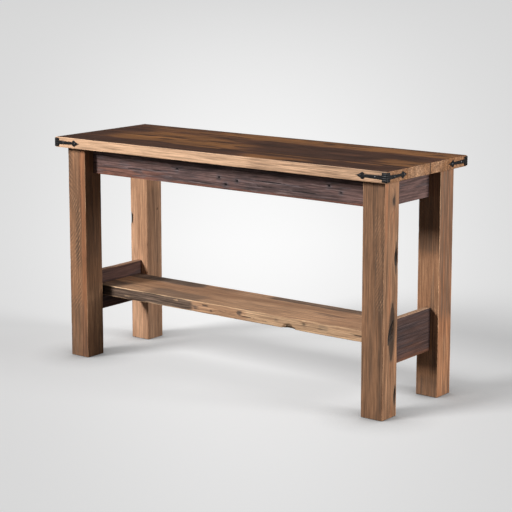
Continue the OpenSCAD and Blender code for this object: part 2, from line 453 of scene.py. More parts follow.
def in_scene(name, data):
    """A new object in the scene."""
    made = bpy.data.objects.new(name, data)
    bpy.context.scene.collection.objects.link(made)
    return made


def mesh_of(bm, name):
    """A mesh from a finished bmesh."""
    mesh = bpy.data.meshes.new(name)
    bm.to_mesh(mesh)
    bm.free()
    return mesh


def placed(mesh, name, material):
    """A piece made of a mesh, riding on the one body."""
    mesh.materials.append(material)
    piece = in_scene(name, mesh)
    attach(piece, "root")
    return piece


# ---- material nodes

def linear(red, green, blue):
    """A colour given as 0 to 255 screen values, as the shader takes it."""
    def one(value):
        share = value / 255
        return share / 12.92 if share <= 0.04045 else ((share + 0.055) / 1.055) ** 2.4
    return (one(red), one(green), one(blue), 1.0)


class Graph:
    """Adds nodes to one material and joins them."""

    def __init__(self, name):
        self.material = bpy.data.materials.new(name)
        self.material.use_nodes = True
        self.tree = self.material.node_tree
        self.shader = self.tree.nodes["Principled BSDF"]

    def feed(self, sockets, inputs):
        """Joins or sets sockets, which are given by name or by number."""
        for key, value in inputs.items():
            if isinstance(value, bpy.types.NodeSocket):
                self.tree.links.new(value, sockets[key])
            else:
                sockets[key].default_value = value

    def node(self, kind, inputs, **settings):
        made = self.tree.nodes.new(kind)
        for key, value in settings.items():
            setattr(made, key, value)
        self.feed(made.inputs, inputs)
        return made.outputs

    def surface(self, inputs):
        self.feed(self.shader.inputs, inputs)

    def math(self, operation, *values):
        return self.node("ShaderNodeMath", dict(enumerate(values)), operation=operation)[0]

    def times(self, a, b):
        return self.math("MULTIPLY", a, b)

    def line(self, a, slope, start):
        """a times slope, plus start."""
        return self.math("MULTIPLY_ADD", a, slope, start)

    def swing(self, field, size, start):
        """start, moved up and down by a noise."""
        return self.line(self.math("SUBTRACT", field, 0.5), size, start)

    def mix(self, share, a, b, blend="MIX"):
        inputs = {"Factor": share, 6: a, 7: b}
        return self.node("ShaderNodeMix", inputs, data_type="RGBA", blend_type=blend)[2]

    def shaded(self, colour, shade):
        return self.mix(1.0, colour, shade, "MULTIPLY")

    def step(self, value, low, high, to_low=0.0, to_high=1.0):
        """A soft step from one value to another."""
        names = ("Value", "From Min", "From Max", "To Min", "To Max")
        inputs = dict(zip(names, (value, low, high, to_low, to_high)))
        return self.node("ShaderNodeMapRange", inputs, interpolation_type="SMOOTHSTEP")[0]

    def paint(self, name):
        return self.node("ShaderNodeAttribute", {}, attribute_name=name)["Fac"]

    def position(self):
        return self.node("ShaderNodeTexCoord", {})["Object"]

    def parts(self, vector):
        return self.node("ShaderNodeSeparateXYZ", {0: vector})

    def join(self, *parts):
        return self.node("ShaderNodeCombineXYZ", dict(enumerate(parts)))[0]

    def grey(self, value):
        return self.join(value, value, value)

    def grain_axes(self, centre, long_axis):
        """The place in a board, as along, across and across, round its centre."""
        inputs = {0: self.position(), 1: centre}
        place = self.node("ShaderNodeVectorMath", inputs, operation="SUBTRACT")[0]
        parts = self.parts(place)
        return [parts[(long_axis + i) % 3] for i in range(3)]

    def noise(self, vector, cells, seed, detail=2.0, rough=0.5, colour=False):
        shift = (seed * 3.71, seed * 7.13, seed * 1.93)
        inputs = {"Vector": vector, "Scale": cells, "Location": shift}
        place = self.node("ShaderNodeMapping", inputs)[0]
        inputs = {"Vector": place, "Scale": 1.0, "Detail": detail, "Roughness": rough}
        return self.node("ShaderNodeTexNoise", inputs)["Color" if colour else "Fac"]

    def even_noise(self, cells, seed, detail=3.0):
        return self.noise(self.position(), (cells,) * 3, seed, detail, 0.6)

    def bump(self, height, strength, distance):
        inputs = {"Strength": strength, "Distance": distance, "Height": height}
        self.surface({"Normal": self.node("ShaderNodeBump", inputs)[0]})


# Noises of the wood: cells in a metre along and across it, step of the seed, detail, roughness
FIBRE = ((7.0, 420.0, 420.0), 3, 4.0, 0.62)
STREAK = ((2.2, 95.0, 95.0), 4, 3.0, 0.55)
PORES = ((30.0, 1500.0, 1500.0), 5, 1.0, 0.5)
BLOTCH = ((2.6, 11.0, 11.0), 6, 3.0, 0.55)
SWAY_CELLS = (1.6, 9.0, 9.0)
SWAY = 0.03
LEAN = (0.02, 0.012)
SHADES = (
    "light", "mid", "deep", "warm", "weather", "weather_light", "raw", "raw_ring", "hole",
)
PLAIN_LOOK = {
    "fibre": 0.25, "thread": 0.24, "thread_size": (11.0, 240.0, 240.0), "tone": 1.0,
}


def wood(name, look, board, seed):
    """Solid wood: rings round a pith line, fibres, pores and blotches, then the board's
    own paint of bare, weathered, reddish and broken wood. At a few places the dark and
    black paints are painted shade and the pale paint is painted light."""
    g = Graph(name)
    look = {**PLAIN_LOOK, **look}
    shade = {key: linear(*look[key]) for key in SHADES}
    centre = tuple((board.low + board.high) / 2 * MM)
    along, *across = g.grain_axes(centre, board.long_axis)
    grain = g.join(along, *across)
    fibre, streak, pores, blotch = (
        g.noise(grain, cells, seed + step, detail, rough)
        for cells, step, detail, rough in (FIBRE, STREAK, PORES, BLOTCH)
    )
    thread = g.noise(grain, look["thread_size"], seed + 8, 3.0, 0.6)

    sway = g.parts(g.noise(grain, SWAY_CELLS, seed, colour=True))
    squares = []
    for place, part, pith, lean in zip(across, sway, look["pith"], LEAN):
        leaned = g.line(along, lean, g.swing(part, SWAY, place))
        off = g.math("SUBTRACT", leaned, pith * MM)
        squares.append(g.times(off, off))
    radius = g.math("ADD", g.math("SQRT", g.math("ADD", *squares)), g.paint("swirl"))
    turns = g.math("DIVIDE", radius, look["ring"] * MM)
    drift = g.noise(g.join(turns, 0.0, 0.0), (0.23, 1.0, 1.0), seed + 1)
    phase = g.math("FRACT", g.line(drift, 4.0, turns))
    late = g.times(g.step(phase, 0.15, 0.85), g.step(phase, 0.9, 1.0, 1.0, 0.0))
    bands = g.noise(g.join(turns, 0.0, 0.0), (0.9, 1.0, 1.0), seed + 2, 3.0, 0.6)
    ringed = g.times(late, g.step(bands, 0.3, 0.65))

    colour = g.mix(g.step(blotch, 0.38, 0.64), shade["light"], shade["mid"])
    colour = g.mix(g.times(ringed, look["rings"]), colour, shade["deep"])
    colour = g.mix(g.step(streak, 0.5, 0.72, 0.0, 0.5), colour, shade["deep"])
    warm = g.mix(ringed, shade["warm"], g.mix(0.5, shade["warm"], shade["deep"]))
    colour = g.mix(g.times(g.paint("warm"), g.step(streak, 0.3, 0.6, 1.0, 0.7)), colour, warm)
    # The dark paint turns the wood to the weathered colours: weathering and stains, and painted
    # shade where it is laid for that
    weather_and_shade = g.swing(streak, 0.7, g.swing(fibre, 1.1, g.paint("dark")))
    weather = g.mix(g.step(fibre, 0.35, 0.65), shade["weather"], shade["weather_light"])
    colour = g.mix(g.step(weather_and_shade, 0.18, 0.85, 0.0, 0.95), colour, weather)
    # The pale paint turns the wood to bare wood: wear, and painted light where it is laid for that
    wear_and_light = g.swing(blotch, 0.5, g.swing(fibre, 0.9, g.paint("pale")))
    raw = g.mix(g.times(ringed, 0.5), shade["raw"], shade["raw_ring"])
    colour = g.mix(g.step(wear_and_light, 0.2, 0.8), colour, raw)
    fine = g.step(fibre, 0.32, 0.68, 1.0 - look["fibre"], 1.0 + look["fibre"])
    colour = g.shaded(colour, g.grey(fine))
    broad = g.grey(g.step(thread, 0.3, 0.7, 1.0 - look["thread"], 1.0 + look["thread"]))
    colour = g.shaded(colour, g.mix(g.times(g.paint("pale"), 0.8), broad, (1, 1, 1, 1)))
    colour = g.mix(g.step(pores, 0.6, 0.7, 0.0, 0.4), colour, shade["weather"])
    colour = g.shaded(colour, (look["tone"],) * 3 + (1.0,))

    dull = g.step(fibre, 0.3, 0.7, look["rough"] - 0.07, look["rough"] + 0.12)
    # The black paint: breaks, holes and seams, and painted shade where it is laid for that
    g.surface({
        "Base Color": g.mix(g.paint("hole"), colour, shade["hole"]),
        "Roughness": g.line(g.paint("dark"), 0.12, dull),
        "Specular IOR Level": look["specular"],
    })
    height = g.line(g.step(pores, 0.58, 0.7), -0.4, g.line(ringed, -0.35, fibre))
    g.bump(height, 0.45, 0.0006)
    return g.material


# ---- looks of the wood

def palette(*shades, **more):
    """A look: its screen colours, in the order of SHADES, and its other settings."""
    return {**dict(zip(SHADES, shades)), **more}


TOP_LOOK = palette(
    (104, 66, 42), (84, 52, 36), (48, 29, 21), (150, 100, 52), (38, 25, 18), (82, 53, 39),
    (214, 174, 140), (188, 142, 108), (16, 12, 11),
    ring=6.0, rings=0.5, rough=0.46, specular=0.22, thread=0.32, thread_size=(5.0, 60.0, 60.0),
)
LEG_LOOK = palette(
    (160, 116, 84), (134, 97, 70), (88, 62, 45), (168, 106, 68), (50, 40, 34), (98, 80, 66),
    (196, 152, 116), (160, 114, 82), (14, 11, 10),
    ring=5.0, rings=0.4, rough=0.6, specular=0.25,
)
APRON_LOOK = palette(
    (122, 94, 88), (100, 80, 77), (60, 46, 45), (140, 86, 62), (46, 38, 40), (112, 98, 98),
    (158, 136, 130), (128, 102, 94), (10, 8, 8),
    ring=4.0, rings=0.5, rough=0.68, specular=0.2, fibre=0.35, thread=0.34,
    thread_size=(16.0, 200.0, 200.0),
)
STRETCHER_LOOK = palette(
    (108, 78, 68), (88, 64, 58), (54, 39, 37), (130, 84, 60), (46, 36, 36), (88, 72, 70),
    (190, 152, 122), (144, 106, 80), (10, 8, 8),
    ring=5.0, rings=0.5, rough=0.6, specular=0.22,
)
SHELF_LOOK = palette(
    (190, 148, 114), (160, 120, 90), (118, 82, 58), (178, 118, 76), (56, 44, 38),
    (118, 98, 84), (220, 184, 146), (184, 138, 100), (14, 11, 10),
    pith=(15, -110), ring=6.0, rings=0.45, rough=0.58, specular=0.25,
)
LEG_CHANGES = {
    "leg_rear_left": palette((208, 162, 128), (190, 143, 109), (152, 108, 80), tone=0.96),
    "leg_front_right": palette((158, 116, 85), (128, 93, 68), (74, 53, 39)),
    "leg_front_left": {"tone": 0.94},
    "leg_rear_right": {"tone": 1.16},
}


# ---- the table's boards

# Lattice steps along X, Y and Z, for a board along each axis
LONG_STEPS = {0: (4.5, 2.6, 2.6), 1: (2.6, 4.0, 2.6), 2: (2.6, 2.6, 3.6)}


MAIN_SEAM = 0.8


def end_grain(seam):
    """The sawn ends of a plank: reddish and part bare, with a dark seam at its front."""
    rows = ((500, "warm", 0.5, 12), (500, "pale", 0.34, 12), (5, "hole", seam, 3))
    return [
        patch(side, -50, u1, -50, 100, kind, amount, soft)
        for side in ("left", "right") for u1, kind, amount, soft in rows
    ]


PLANK_END = (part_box("top_plank_front")[1].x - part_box("top_plank_front")[0].x) / MM + 20
# The top's planks: seed, pith and features. u runs from the left end, v across the face
PLANKS = {
    "front": (101, (30, -90), [
        patch("top", -20, PLANK_END, -5, 130, "dark", 0.72, 20),
        patch("top", -20, 130, -5, 130, "dark", 0.95, 30),
        patch("top", 770, 1030, 6, 70, "warm", 0.7, 30),
        patch("top", 770, 1030, 6, 70, "dark", -0.6, 30),
        patch("top", 430, 1250, 100, 116, "warm", 0.9, 6),
        patch("top", 430, 1250, 100, 116, "dark", -0.9, 6),
        streaks("top", "dark", 0.9, 20, 110, 0.1, 3),
        patch("front", -150, 860, -100, 150, "pale", 0.8, 60),
        patch("front", 600, PLANK_END + 200, -100, 150, "pale", 0.62, 60),
        patch("top", -20, PLANK_END, -4, 4, "pale", 0.75, 4),
    ]),
    "mid_front": (117, (-45, -70), [
        patch("top", 130, 680, 4, 125, "warm", 0.95, 50, 0.9),
        patch("top", 690, 1180, -10, 130, "dark", 0.85, 40, 0.9),
        patch("top", 1180, 1350, 10, 130, "warm", 0.8, 30),
        patch("top", -20, 110, -10, 130, "dark", 0.7, 40),
        streaks("top", "dark", 0.85, 18, 110, 0.05, 5),
    ]),
    "mid_rear": (139, (60, -100), [
        patch("top", 170, 560, -10, 80, "warm", 0.8, 50, 0.9),
        patch("top", 600, 1300, -10, 110, "dark", 0.8, 44, 0.9),
        patch("top", -20, 170, 30, 110, "dark", 0.75, 40),
        streaks("top", "dark", 0.85, 18, 110, 0.05, 7),
    ]),
    "rear": (151, (-20, -80), [
        patch("top", 380, PLANK_END, 4, 100, "warm", 0.8, 34, 0.9),
        patch("top", 60, 420, 4, 90, "warm", 0.5, 40, 0.9),
        patch("top", -20, 140, 4, 120, "dark", 0.6, 40),
        streaks("top", "dark", 0.85, 17, 100, 0.05, 9),
        patch("back", -20, PLANK_END, -10, 50, "pale", 0.7, 8),
    ]),
}


def top_planks():
    """The four planks of the top."""
    for name, (seed, pith, features) in PLANKS.items():
        board = Board("top_plank_" + name, seed, 0, arris=1.3, roughness=0.45, wear=0.1)
        board.features = features + end_grain(MAIN_SEAM if name == "mid_rear" else 0.0)
        look = dict(TOP_LOOK, pith=pith)
        material = wood(board.node + "_finish", look, board, seed % 13)
        built(board, LONG_STEPS[0], material)


def mortise(low, high, axis, end):
    """The hole for a tenon: a little wider all round, and deeper at its blind end."""
    gap = np.full(3, JOINT_GAP)
    gap[axis] = 0
    low, high = low - gap, high + gap
    if end > 0:
        high[axis] += END_GAP
    else:
        low[axis] -= END_GAP
    return low, high


def past_end(board, end, length, low, high):
    """Moves a tenon's box out past one end of its board."""
    a = board.long_axis
    if end < 0:
        low[a], high[a] = board.low[a] - length, board.low[a]
    else:
        low[a], high[a] = board.high[a], board.high[a] + length
    board.tenons.append((low, high))
    return low, high, a, end


def add_tenons(board, length, thickness, shoulder):
    """A tenon on each end of a board on edge, set in from its faces. Returns each
    tenon's box and its direction."""
    made = []
    thick_axis = 1 - board.long_axis
    for end in (-1, 1):
        low, high = board.low.copy(), board.high.copy()
        mid = (low[thick_axis] + high[thick_axis]) / 2
        low[thick_axis] = mid - thickness / 2
        high[thick_axis] = mid + thickness / 2
        low[2] += shoulder
        high[2] -= shoulder
        made.append(past_end(board, end, length, low, high))
    return made


def inner_faces(axis):
    """Between the posts along an axis, in millimetres."""
    low_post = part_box("leg_front_left")[1][axis] / MM
    high_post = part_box("leg_rear_right")[0][axis] / MM
    return low_post, high_post


APRON_HOLES = (
    (372, 48, 7.0), (547, 37, 7.5), (620, 32, 8.0), (575, 16, 8.5), (976, 51, 7.0),
    (1020, 34, 6.0),
)


def aprons():
    """The four apron boards. Returns every tenon, for the posts' mortises."""
    tenons = []
    for name, outer, axis, seed, pith in (
        ("apron_front", "front", 0, 211, (-120, 30)), ("apron_rear", "back", 0, 223, (140, -20)),
        ("apron_left", "left", 1, 237, (40, 110)), ("apron_right", "right", 1, 251, (-30, -120)),
    ):
        board = Board(
            name, seed, axis, inner_faces(axis), free_ends=False, roughness=0.7, arris=1.2,
            wear=0.55,
        )
        tenons += add_tenons(board, *APRON_TENON)
        inner = OPPOSITE[outer]
        board.features = [
            kerfs(outer, 7.0, 0.5, 0.25, 0.3),
            kerfs(inner, 7.0, -0.4, 0.25, 0.3),
            streaks(outer, "dark", 0.6, 7, 60, 0.0, 1),
            streaks(inner, "dark", 0.8, 9, 70, 0.0, 2),
            streaks(outer, "pale", 0.36, 5, 45, 0.15, 3),
            streaks(inner, "pale", 0.4, 6, 55, 0.2, 4),
        ]
        if outer == "front":
            board.features += [
                patch("front", 0, 320, 4, 30, "warm", 0.55, 14),
                patch("front", -20, 1200, -4, 7, "warm", 0.8, 4),
                *(hole("front", *place) for place in APRON_HOLES),
                crack("front", [(120, 30), (330, 36)], 1.6, 2.5),
                crack("front", [(640, 42), (860, 38)], 1.6, 2.5),
                crack("front", [(700, 24), (980, 20)], 1.4, 2.5),
            ]
        look = dict(APRON_LOOK, pith=pith, tone=0.66 if outer == "right" else 0.9)
        material = wood(name + "_finish", look, board, seed % 17)
        built(board, LONG_STEPS[axis], material)
    return tenons


def stretchers():
    """The two end stretchers, each with a housing for the shelf's tongue."""
    tenons = []
    shelf_low, shelf_high = (np.array(c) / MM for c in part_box("shelf_plank"))
    for outer, seed, pith in (("left", 311, (40, 90)), ("right", 331, (-30, 100))):
        board = Board(
            "stretcher_" + outer, seed, 1, inner_faces(1), free_ends=False, roughness=0.5,
            arris=2.0, wear=0.9, wear_width=3.0,
        )
        tenons += add_tenons(board, *STRETCHER_TENON)
        low, high = shelf_low - JOINT_GAP, shelf_high + JOINT_GAP
        high[2] -= SHELF_SHOULDER
        if outer == "left":
            high[0] = board.high[0] + END_GAP
        else:
            low[0] = board.low[0] - END_GAP
        board.voids.append((low, high))
        inner = OPPOSITE[outer]
        board.features = [
            patch("top", -20, 30, -20, 260, "pale", 0.55 if outer == "left" else 0.9, 6),
            streaks(outer, "dark", 0.8, 14, 120, -0.1, 1),
            streaks(inner, "dark", 0.8, 14, 120, -0.1, 2),
            patch(outer, -20, 260, -4, 9, "warm", 0.85, 5),
            patch(inner, -20, 260, -4, 7, "warm", 0.6, 5),
            kerfs(outer, 8.0, 0.3, 0.2, 0.18),
        ]
        if outer == "right":
            board.features += [
                patch("right", 90, 200, 14, 60, "warm", 0.4, 22),
                patch("right", -20, 260, 20, 160, "dark", 0.55, 10),
            ]
        look = dict(STRETCHER_LOOK, pith=pith, tone=0.72 if outer == "right" else 1.05)
        material = wood(board.node + "_finish", look, board, seed % 11)
        built(board, LONG_STEPS[1], material)
    return tenons


def shelf():
    """The shelf plank, with a shouldered tongue on each end."""
    inner_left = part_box("stretcher_left")[1].x / MM
    inner_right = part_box("stretcher_right")[0].x / MM
    board = Board(
        "shelf_plank", 401, 0, (inner_left, inner_right), free_ends=False, arris=2.2,
        arris_wander=2.5, roughness=0.6, wear=1.0, wear_width=3.5,
    )
    for end in (-1, 1):
        low, high = board.low.copy(), board.high.copy()
        high[2] -= SHELF_SHOULDER
        past_end(board, end, HOUSING_D, low, high)
    board.features = [
        patch("top", 190, 460, -10, 74, "dark", 0.6, 30),
        patch("top", -20, 330, 160, 230, "dark", 0.85, 18),
        patch("top", 600, 1200, 172, 230, "dark", 0.7, 18),
        streaks("top", "dark", 0.5, 18, 160, 0.1, 1),
        streaks("front", "dark", 0.35, 7, 110, 0.1, 2),
        patch("front", 40, 420, -10, 60, "dark", 0.95, 14, 1.6),
        streaks("front", "dark", 0.8, 8, 30, 0.15, 6),
        # Painted shadow of the front left post over the left end of the shelf's front, dark and
        # black
        patch("front", -20, 70, -10, 60, "dark", 1.0, 10),
        patch("front", -20, 60, -10, 60, "hole", 0.7, 10),
        patch("front", 640, 1250, -10, 60, "pale", 0.5, 14),
        # Painted shadow of the front left post on the front of the shelf's top at its left end
        patch("top", -20, 110, -10, 90, "dark", 0.7, 26, 1.2),
        streaks("front", "pale", 0.5, 8, 26, 0.2, 5),
        knot("front", 880, 25, 9), knot("front", 504, 13, 5),
        bite("front", 822, 0, 16, 9, 24),
        patch("front", 935, 975, 12, 30, "dark", 0.8, 8),
        crack("front", [(1060, 20), (1110, 18)], 1.6, 3),
        crack("front", [(620, 14), (740, 11)], 1.0, 2),
        streaks("bottom", "dark", 0.6, 18, 160, 0.0, 3),
        streaks("back", "dark", 0.7, 9, 140, 0.0, 4),
    ]
    material = wood("shelf_plank_finish", SHELF_LOOK, board, 5)
    built(board, LONG_STEPS[0], material)


def band(side, v0, v1, kind, amount, soft):
    """A patch right across one face of a post, between two heights."""
    return patch(side, -10, 90, v0, v1, kind, amount, soft)


# The posts: seed, pith and features. u runs across the face, v up from the floor
POSTS = {
    "leg_front_left": (503, (60, -60), [
        kerfs("front", 17.0, 1.0, 0.35, 0.5, 0.4, u1=58, v0=560),
        kerfs("front", 17.0, -1.5, 0.4, 0.6, 0.2, u1=56, v0=150, v1=580),
        patch("front", 52, 90, -20, 760, "warm", 0.6, 14),
        patch("front", -10, 80, -20, 210, "dark", 0.5, 30),
        # Painted shade across the middle of the right face
        band("right", 300, 520, "dark", 0.35, 40),
        # Painted light on the low part of the right face
        band("right", -20, 260, "pale", 0.35, 40),
        streaks("front", "dark", 0.45, 12, 170, 0.1, 1),
        streaks("right", "dark", 0.35, 12, 170, 0.0, 2),
    ]),
    "leg_front_right": (521, (-70, 45), [
        patch("front", 63, 75, 10, 480, "dark", 0.55, 9, 1.0),
        streaks("front", "dark", 0.45, 9, 150, 0.0, 1),
        kerfs("front", 16.0, -1.9, 0.4, 0.6, 0.5, u0=44, v0=330, v1=640),
        band("right", -20, 760, "pale", 0.3, 20),
        knot("right", 50, 664, 12, stretch=2.6),
        crack("right", [(65, 442), (66, 538)], 15.0, 1, stain=0.6, black=0.5),
        crack("right", [(67, 464), (68, 516)], 17.0, 6, stain=0.5),
        crack("right", [(46, 184), (50, 350)], 36.0, 1, stain=0.5, black=0.72),
        crack("right", [(58, 300), (52, 280), (42, 256), (30, 232)], 22.0, 8, stain=0.4),
        crack("right", [(68, 40), (70, 92)], 9.0, 4, stain=1.0),
        streaks("right", "warm", 0.6, 9, 200, -0.1, 2),
        streaks("right", "dark", 0.45, 7, 220, 0.15, 3),
    ]),
    "leg_rear_left": (541, (-20, 75), [
        bite("front", 0, 436, 8, 1.6, 24),
        # Black painted over the chipped arris: painted shade in the notch
        patch("front", -6, 9, 420, 452, "hole", 1.0, 4),
        patch("left", -6, 12, 420, 452, "hole", 1.0, 4),
        streaks("right", "dark", 0.45, 10, 160, -0.1, 1),
        band("right", -20, 560, "dark", 0.42, 20),
        band("front", -20, 760, "pale", 0.3, 20),
        knot("right", 55, 470, 5),
    ]),
    "leg_rear_right": (557, (75, 30), [
        streaks("front", "dark", 0.5, 14, 160, 0.0, 1),
        # Painted shadow of the top and apron across the upper front
        band("front", 455, 760, "dark", 0.45, 14),
        band("right", -20, 760, "warm", 0.5, 20),
        streaks("right", "dark", 0.5, 9, 190, 0.0, 5),
        band("right", 230, 760, "dark", 0.58, 40),
        band("right", 60, 760, "warm", 0.4, 40),
        band("right", -20, 230, "pale", 0.35, 40),
        # Painted shade at the foot of the front
        band("front", -20, 70, "dark", 0.45, 14),
        # Paler wood up the front, and painted light in the shade below the stretcher
        band("front", 90, 452, "pale", 0.34, 14),
        kerfs("front", 13.0, 0.8, 0.4, 0.2),
    ]),
}


def legs(tenons):
    """The four posts, mortised for the tenons that reach them."""
    for name, (seed, pith, features) in POSTS.items():
        board = Board(name, seed, 2, arris=1.8, arris_wander=1.6, roughness=0.55)
        board.features = features
        for low, high, axis, end in tenons:
            mid = (low + high) / 2
            if np.all(mid > board.low) and np.all(mid < board.high):
                board.voids.append(mortise(low, high, axis, end))
        look = {**LEG_LOOK, "pith": pith, **LEG_CHANGES[name]}
        material = wood(name + "_finish", look, board, seed % 19)
        built(board, LONG_STEPS[2], material)


# ---- ironwork

def iron(name, base, rough, seed):
    """Blackened, hammered iron with a little wear."""
    g = Graph(name)
    broad = g.even_noise(160.0, seed)
    fine = g.even_noise(900.0, seed + 1)
    rust = g.even_noise(60.0, seed + 2, 4.0)
    colour = g.mix(g.step(broad, 0.4, 0.75), linear(*base), linear(44, 42, 42))
    g.surface({
        "Base Color": g.mix(g.step(rust, 0.62, 0.75, 0.0, 0.35), colour, linear(70, 48, 38)),
        "Roughness": g.step(fine, 0.3, 0.7, rough - 0.08, rough + 0.14),
        "Metallic": 0.55,
    })
    g.bump(g.line(broad, 0.8, fine), 0.5, 0.0004)
    return g.material


VOXEL = 0.6
DENT_CELL = 5.5
DENT_DEPTH = 0.35
RIB_PITCH = 6.5
RIB_DEPTH = 0.45


def remeshed(name):
    """A CAD node's solid as a close, even, slightly relaxed mesh."""
    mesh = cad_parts[name].data.copy()
    mesh.materials.clear()
    rough = in_scene(name + "_rough", mesh)
    remesh = rough.modifiers.new("remesh", "REMESH")
    remesh.mode = "VOXEL"
    remesh.voxel_size = VOXEL * MM
    relax = rough.modifiers.new("relax", "SMOOTH")
    relax.factor = 0.5
    relax.iterations = 2
    graph = bpy.context.evaluated_depsgraph_get()
    dense = bpy.data.meshes.new_from_object(rough.evaluated_get(graph))
    bpy.data.objects.remove(rough)
    return dense


def straps(material):
    """Each strap is remeshed from its CAD solid, bent round the corner and hammered."""
    top_low = np.array(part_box("top_plank_front")[0])
    top_high = np.array(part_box("top_plank_rear")[1])
    mid_z = (top_low[2] + top_high[2]) / 2
    thick = STRAP_T * MM
    for ends in product(("front", "rear"), ("left", "right")):
        name = "_".join(("strap", *ends))
        dense = remeshed(name)
        points = np.empty(len(dense.vertices) * 3)
        dense.vertices.foreach_get("co", points)
        points = points.reshape(-1, 3)
        side = np.where(points[:, :2].mean(axis=0) > 0, 1, -1)
        corner = np.where(side > 0, top_high[:2], top_low[:2])
        out = (points[:, :2] - corner) * side
        length = np.linalg.norm(out, axis=1)
        shrink = np.minimum(1, thick / np.maximum(length, 1e-9))
        shrink = np.where(np.all(out > 0, axis=1), shrink, 1)
        points[:, :2] = corner + out * shrink[:, None] * side
        # Hammer marks and the plate's ribs push the outer face in
        reach = np.max(-out, axis=1) / MM
        outer = smooth(0.55, 0.9, np.max(out, axis=1) / thick)
        dents = 0.5 + 0.5 * layered(points / MM, (DENT_CELL,) * 3, 71)
        ribs = 0.5 + 0.5 * np.cos((points[:, 2] - mid_z) / MM * 2 * np.pi / RIB_PITCH)
        on_plate = 1 - smooth(PLATE_W - 3, PLATE_W, reach)
        depth = (DENT_DEPTH * dents + RIB_DEPTH * ribs * on_plate) * MM * outer
        along_x = out[:, 0] > out[:, 1]
        points[:, 0] -= np.where(along_x, depth * side[0], 0)
        points[:, 1] -= np.where(along_x, 0, depth * side[1])
        dense.vertices.foreach_set("co", points.ravel())
        dense.update()
        dense.shade_smooth()
        piece = placed(dense, name + "_iron", material)
        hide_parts(name)


def lathed(bm, profile, place, axis, sign, turn, wobble):
    """A turned form. The profile is (distance out of the wood, radius) pairs."""
    count = 20
    rings = []
    for out, radius in profile:
        ring = []
        for i in range(count):
            angle = 2 * math.pi * i / count + turn
            r = radius * (1 + wobble * math.sin(3 * angle + turn * 5))
            point = list(place)
            point[axis] += sign * out
            point[1 - axis] += r * math.cos(angle)
            point[2] += r * math.sin(angle)
            ring.append(bm.verts.new([c * MM for c in point]))
        rings.append(ring)
    for low, high in zip(rings, rings[1:]):
        for i in range(count):
            j = (i + 1) % count
            bm.faces.new((low[i], low[j], high[j], high[i]))
    bm.faces.new(rings[0][::-1])
    bm.faces.new(rings[-1])


def nails(material):
    """Sixteen clout nails with worn domed heads, as one group."""
    bm = bmesh.new()
    low = np.array(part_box("top_plank_front")[0]) / MM
    high = np.array(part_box("top_plank_rear")[1]) / MM
    mid_z = (low[2] + high[2]) / 2
    r = NAIL_HEAD_D / 2
    top = STRAP_T + NAIL_HEAD_T
    head = [(-NAIL_DEPTH, 0.3), (-NAIL_DEPTH + 4, NAIL_D / 2), (STRAP_T - 0.1, NAIL_D / 2),
            (STRAP_T - 0.1, r * 0.94), (STRAP_T + 0.35, r), (STRAP_T + 0.9, r * 0.88),
            (top - 0.45, r * 0.66), (top - 0.15, r * 0.42), (top - 0.03, r * 0.18)]
    corners = product((-1, 1), (-1, 1), NAIL_PLACES)
    for number, (sign_x, sign_y, place) in enumerate(corners):
        edge_x = high[0] if sign_x > 0 else low[0]
        edge_y = high[1] if sign_y > 0 else low[1]
        lathed(bm, head, (edge_x - sign_x * place, edge_y, mid_z), 1, sign_y, number, 0.03)
        lathed(bm, head, (edge_x, edge_y - sign_y * place, mid_z), 0, sign_x, number + 2, 0.03)
    bmesh.ops.recalc_face_normals(bm, faces=bm.faces)
    mesh = mesh_of(bm, "strap_nails_mesh")
    mesh.shade_smooth()
    piece = placed(mesh, "strap_nails_iron", material)
    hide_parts("strap_nails")


# ---- hidden fasteners

def plain_wood(name, light, deep, seed):
    """New hardwood for dowels and buttons."""
    g = Graph(name)
    fibre = g.noise(g.position(), (60.0, 500.0, 500.0), seed, 3.0, 0.6)
    blotch = g.noise(g.position(), (20.0, 40.0, 40.0), seed + 1)
    light, deep = linear(*light), linear(*deep)
    colour = g.mix(g.step(fibre, 0.3, 0.7), light, deep)
    g.surface({
        "Base Color": g.mix(g.step(blotch, 0.4, 0.7, 0.0, 0.4), colour, deep),
        "Roughness": g.step(fibre, 0.3, 0.7, 0.5, 0.7),
    })
    g.bump(fibre, 0.3, 0.0004)
    return g.material


def steel(name, seed):
    """Dull zinc-plated steel."""
    g = Graph(name)
    fine = g.even_noise(700.0, seed)
    g.surface({
        "Base Color": g.mix(g.step(fine, 0.3, 0.7), linear(150, 150, 146), linear(110, 108, 104)),
        "Roughness": g.step(fine, 0.3, 0.7, 0.3, 0.5),
        "Metallic": 0.9,
    })
    g.bump(fine, 0.2, 0.0002)
    return g.material


def keep_nodes():
    """Fasteners whose CAD shape is right keep it and get a material."""
    finishes = {"button_screws": steel("button_screws_finish", 9)}
    for name, light, deep, seed in (
        ("top_dowels", (214, 176, 124), (182, 138, 88), 3),
        ("shelf_dowels", (214, 176, 124), (182, 138, 88), 5),
        ("top_buttons", (188, 146, 96), (150, 106, 64), 7),
    ):
        finishes[name] = plain_wood(name + "_finish", light, deep, seed)
    for name, material in finishes.items():
        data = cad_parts[name].data
        data.materials.clear()
        data.materials.append(material)


# ---- studio

CAMERA_AZIMUTH = 37.633
FLOOR_RADIUS = 60.0
FLOOR_DROP = 0.0003
FLOOR_TONE = 0.76
FLOOR_GLOW = 0.47
FLOOR_BOUNCE = 0.20
CONTACT_REACH = 0.17
CONTACT_DEPTH = 1.1
POOL_CENTRE = (-1.412, 1.850)
POOL_LEAST = 0.2
POOL_FAN = 0.1325
POOL_NEAR = 3.25
POOL_FAR = 14.5
POOL_BASE = 0.64
POOL_GAIN = 0.29


